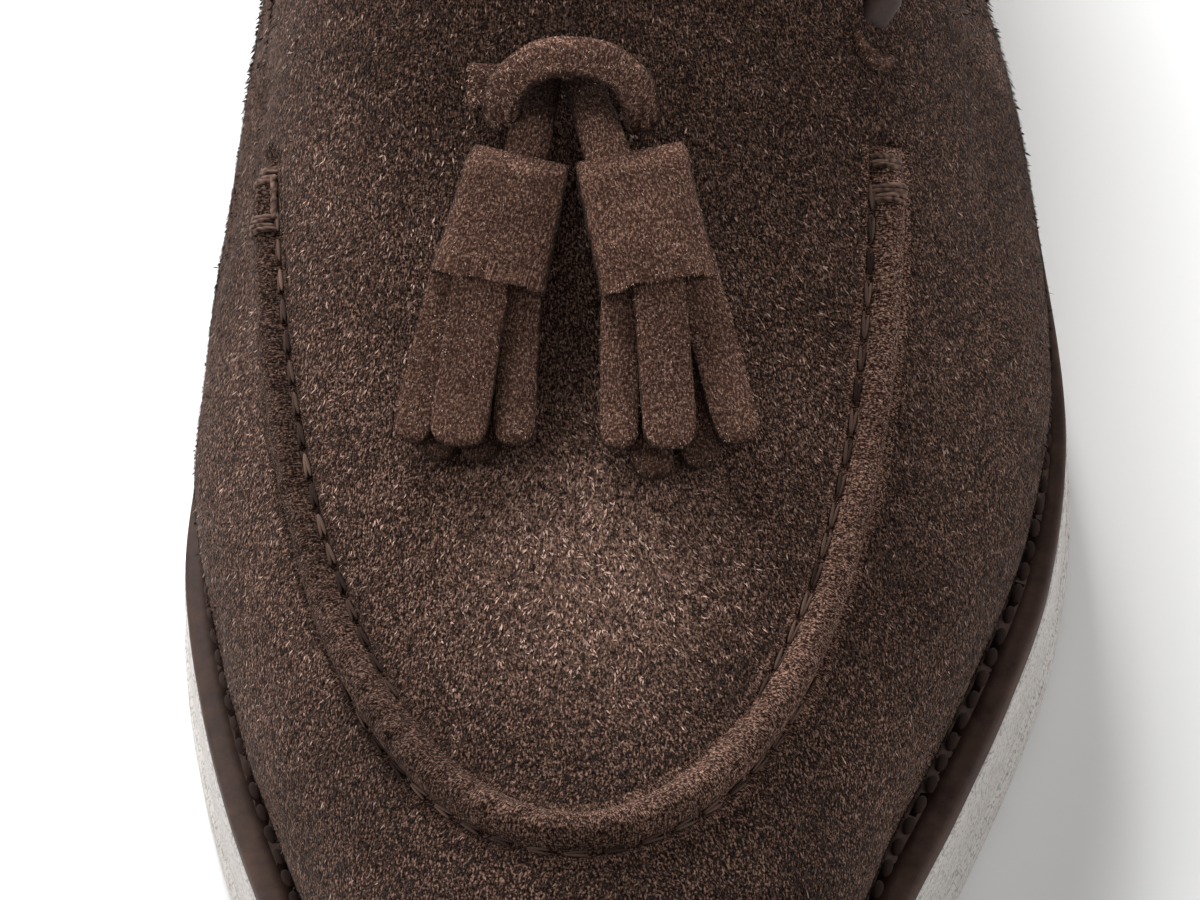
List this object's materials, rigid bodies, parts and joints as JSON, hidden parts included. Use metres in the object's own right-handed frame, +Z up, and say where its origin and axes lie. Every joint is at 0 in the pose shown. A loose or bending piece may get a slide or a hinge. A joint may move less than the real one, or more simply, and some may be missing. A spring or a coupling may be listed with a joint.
{
  "type": "tassel loafer",
  "caption": "Left slip-on tassel loafer in dark brown suede with a raised apron seam, leather welt and pale rubber sole.",
  "frame": {"origin": "centre of the sole's bounding box, on the floor that the sole stands on", "axes": "+Z up, -Y toward the toe, +X toward the outer (lateral) side of this left shoe"},
  "size_m": [0.1088, 0.3, 0.0956],
  "materials": {
    "outsole": "matt, finely speckled off-white rubber",
    "welt": "smooth dark brown leather",
    "insole": "smooth tan leather",
    "upper": "dark brown suede with a short nap",
    "apron_seam": "dark brown suede, rolled and stitched",
    "tassels": "dark brown suede strips with a short nap",
    "lace": "smooth dark brown leather cord"
  },
  "bodies": {
    "root": {"outsole": "outsole", "welt": "welt", "insole": "insole", "upper": "upper", "apron_seam": "apron_seam", "tassel_keeper": "tassels", "tassel_medial": "tassels", "tassel_lateral": "tassels", "collar_lace": "lace"}
  },
  "joints": []
}
